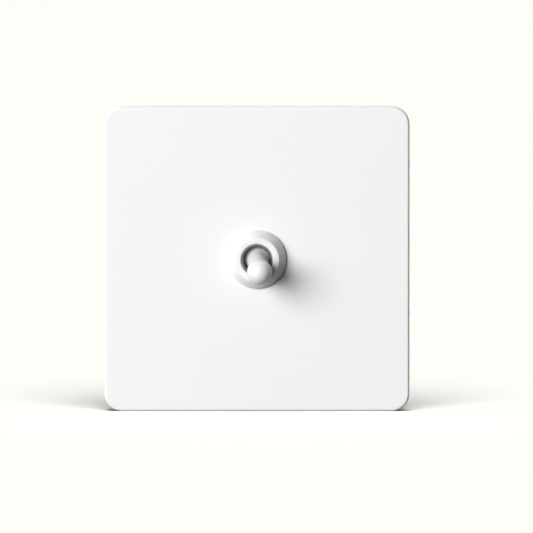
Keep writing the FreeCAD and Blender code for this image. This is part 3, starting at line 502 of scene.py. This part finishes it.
# plunger spring, a coil of fixed length carried with the toggle
coil_r, wire_r, start, span, turns, ring_n = 1.1, 0.16, 2.18, 2.54, 4.5, 12
steps = 180
rise = span / (math.tau * turns)
bm = bmesh.new()
rings = []
for i in range(steps + 1):
    t = math.tau * turns * i / steps
    out = Vector((math.cos(t), 0.0, math.sin(t)))
    along = Vector((-coil_r * math.sin(t), rise, coil_r * math.cos(t))).normalized()
    side = along.cross(out)
    mid = out * coil_r + Vector((0.0, start + span * i / steps, 0.0))
    rings.append([bm.verts.new(tilt @ ((mid + (out * math.cos(a) + side * math.sin(a)) * wire_r) * MM))
                  for a in [math.tau * k / ring_n for k in range(ring_n)]])
for one, two in zip(rings, rings[1:]):
    for k in range(ring_n):
        bm.faces.new((one[k], one[(k + 1) % ring_n], two[(k + 1) % ring_n], two[k]))
bm.faces.new(rings[0])
bm.faces.new(rings[-1])
spring = dress(make("spring_coil", bm), "toggle", "plunger_spring")
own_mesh(spring)

# two box screws, slotted heads and threaded shanks
(x0, head, _), (x1, end, _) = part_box("mounting_screws")
head, end = head / MM, end / MM
pair = bmesh.new()
yoke_front = head + 1.5
pitch = 60.3 / 2
for side in (-pitch, pitch):
    turned(pair, [(head, 0.0), (head, 2.2), (head + 0.12, 2.62), (head + 0.34, 2.98), (head + 0.60, 3.2), (yoke_front, 3.2), (yoke_front, 1.5),
                  (0.6, 1.5), (0.8, 1.75), (end - 0.6, 1.75), (end, 1.15), (end, 0.0)],
           at=(side, 0.0, 0.0), segments=72, thread=(0.8, end - 0.6, 0.30, 0.6, 1.7))
screws = make("box_screw_pair", pair)
for side in (-pitch, pitch):
    combine(screws, box_mesh((side - 4.0, head - 1.0, -0.45), (side + 4.0, head + 0.85, 0.45)), "DIFFERENCE")
dress(screws, "fixed", "mounting_screws")

# clamp screws, about X
for name in ("common", "line1", "line2"):
    node = name + "_screw"
    (tip_x, ya, za), (head_x, yb, zb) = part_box(node)
    tip_x, head_x = tip_x / MM, head_x / MM
    centre = ((ya + yb) / 2 / MM, (za + zb) / 2 / MM)
    bm = bmesh.new()
    turned(bm, [(tip_x, 0.0), (tip_x, 1.06), (tip_x + 0.35, 1.42), (head_x - 2.0, 1.42), (head_x - 2.0, 2.0), (head_x - 0.3, 2.0),
                (head_x - 0.12, 1.93), (head_x, 1.75), (head_x, 0.0)],
           axis="X", at=(0.0, centre[0], centre[1]), segments=64, thread=(tip_x + 0.35, head_x - 2.0, 0.26, 0.5, 1.3))
    screw = make(node + "_cut", bm)
    combine(screw, box_mesh((head_x - 0.9, centre[0] - 3.0, centre[1] - 0.35), (head_x + 1.0, centre[0] + 3.0, centre[1] + 0.35)), "DIFFERENCE")
    dress(screw, node, node)

# earth screw, about Y
(xa, tip_y, za), (xb, head_y, zb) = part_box("earth_screw")
tip_y, head_y = tip_y / MM, head_y / MM
cx, cz = (xa + xb) / 2 / MM, (za + zb) / 2 / MM
bm = bmesh.new()
turned(bm, [(tip_y, 0.0), (tip_y, 1.06), (tip_y + 0.35, 1.42), (8.4, 1.42), (8.4, 2.4), (head_y - 0.3, 2.4), (head_y - 0.1, 2.3), (head_y, 2.1), (head_y, 0.0)],
       at=(cx, 0.0, cz), segments=72, thread=(tip_y + 0.35, 8.4, 0.26, 0.5, 1.3))
screw = make("earth_screw_cut", bm)
combine(screw, box_mesh((cx - 3.0, head_y - 0.9, cz - 0.35), (cx + 3.0, head_y + 1.0, cz + 0.35)), "DIFFERENCE")
dress(screw, "earth_screw", "earth_screw")

# ------------------------------------------------------------------- studio
low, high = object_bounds()
floor_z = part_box("faceplate")[0][2]


def stage_piece(name, rings_rz, material):
    """A round sheet of the stage, given as (radius, height) rings."""
    bm = bmesh.new()
    count = 96
    rows = []
    for r, z in rings_rz:
        if r == 0.0:
            rows.append([bm.verts.new((0.0, 0.0, z))])
        else:
            rows.append([bm.verts.new((r * math.cos(math.tau * i / count), r * math.sin(math.tau * i / count), z))
                         for i in range(count)])
    for one, two in zip(rows, rows[1:]):
        for i in range(count):
            k = (i + 1) % count
            if len(one) == 1:
                bm.faces.new((one[0], two[i], two[k]))
            else:
                bm.faces.new((one[i], two[i], two[k], one[k]))
    mesh = bpy.data.meshes.new(name)
    bm.to_mesh(mesh)
    bm.free()
    for p in mesh.polygons:
        p.use_smooth = True
    obj = bpy.data.objects.new(name, mesh)
    scene.collection.objects.link(obj)
    mesh.materials.append(material)
    obj.visible_diffuse = False
    obj.visible_glossy = False
    obj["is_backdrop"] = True
    return obj


# a plain pale floor all round, and far out a plain pale backdrop round it
floor_mat, nt, b, v = new_material("floor_mat")
tone = blend_colour(nt, noise(nt, v, 3.0, 2.0), (0.876, 0.868, 0.829), (0.880, 0.872, 0.833))
nt.links.new(tone, b.inputs["Base Color"])
b.inputs["Roughness"].default_value = 0.9
b.inputs["Specular IOR Level"].default_value = 0.0
floor = stage_piece("floor", [(0.0, floor_z), (0.4, floor_z), (2.0, floor_z), (9.0, floor_z)], floor_mat)
back_mat, nt, b, v = new_material("backdrop_mat")
b.inputs["Base Color"].default_value = (0.0, 0.0, 0.0, 1.0)
b.inputs["Specular IOR Level"].default_value = 0.0
b.inputs["Emission Color"].default_value = (0.991, 0.982, 0.938, 1.0)
b.inputs["Emission Strength"].default_value = 1.0
backdrop = stage_piece("backdrop", [(8.9, floor_z - 7.0), (8.9, floor_z + 7.0), (6.0, floor_z + 10.0), (0.0, floor_z + 11.0)][::-1], back_mat)
backdrop.visible_shadow = False
backdrop.visible_transmission = False

# ------------------------------------------------------------------- lights
front_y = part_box("faceplate")[0][1]
aim = Vector((0.0, front_y, 0.0))


def link_light(light, name, objects):
    group = bpy.data.collections.new(name)
    for o in objects:
        group.objects.link(o)
    light.light_linking.receiver_collection = group


def area(name, direction, distance, size, power, colour=(1, 1, 1)):
    data = bpy.data.lights.new(name, "AREA")
    data.shape = "ELLIPSE"
    data.size, data.size_y = size
    data.energy = power
    data.color = colour
    obj = bpy.data.objects.new(name, data)
    d = Vector(direction).normalized()
    obj.location = aim + d * distance
    obj.rotation_euler = (-d).to_track_quat("-Z", "Y").to_euler()
    scene.collection.objects.link(obj)
    return obj


beta, turn = math.radians(38.0), math.radians(160.0)
key = area("key", (math.cos(turn) * math.sin(beta), -math.cos(beta), math.sin(turn) * math.sin(beta)), 2.5, (1.75, 1.75), 104.0)
fill = area("fill", (-0.5, -1.0, 0.3), 1.2, (1.2, 1.2), 0.5)
rear = area("rear", (-0.45, 1.0, 0.35), 1.7, (2.6, 2.6), 30.0)
rear_low = area("rear_low", (0.8, 1.0, 0.05), 1.6, (2.0, 2.0), 15.0)
top = area("top", (0.1, 0.30, 1.0), 1.2, (1.2, 1.2), 2.5)

sun_data = bpy.data.lights.new("floor_sun", "SUN")
sun_data.energy = 4.22
sun_data.angle = math.radians(47.0)
sun = bpy.data.objects.new("floor_sun", sun_data)
e = math.radians(55.0)
d = Vector((0.0, -math.cos(e), math.sin(e)))
sun.rotation_euler = (-d).to_track_quat("-Z", "Y").to_euler()
scene.collection.objects.link(sun)

world = bpy.data.worlds.new("studio")
scene.world = world
world.use_nodes = True
world.node_tree.nodes["Background"].inputs["Color"].default_value = (1.0, 1.0, 1.0, 1.0)
world.node_tree.nodes["Background"].inputs["Strength"].default_value = 0.03

# ------------------------------------------------------------------- camera
elev = math.radians(4.0)
width = 533.0 / 3.55 * MM
dist = 5.0
cam_data = bpy.data.cameras.new("camera")
cam_data.sensor_width = 36.0
cam_data.lens = 36.0 * dist / width
cam_data.clip_end = 50.0
cam = bpy.data.objects.new("camera", cam_data)
look = Vector((0.0, math.cos(elev), -math.sin(elev)))
target = Vector((2.73 * MM, front_y, -2.08 * MM))
cam.location = target - look * dist
cam.rotation_euler = look.to_track_quat("-Z", "Y").to_euler()
scene.collection.objects.link(cam)
scene.camera = cam

# --------------------------------------------------------------- light links
object_pieces = [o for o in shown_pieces()]
for light in (key, fill, rear, rear_low, top):
    link_light(light, light.name + "_lights", object_pieces)
link_light(sun, "floor_sun_lights", [floor])
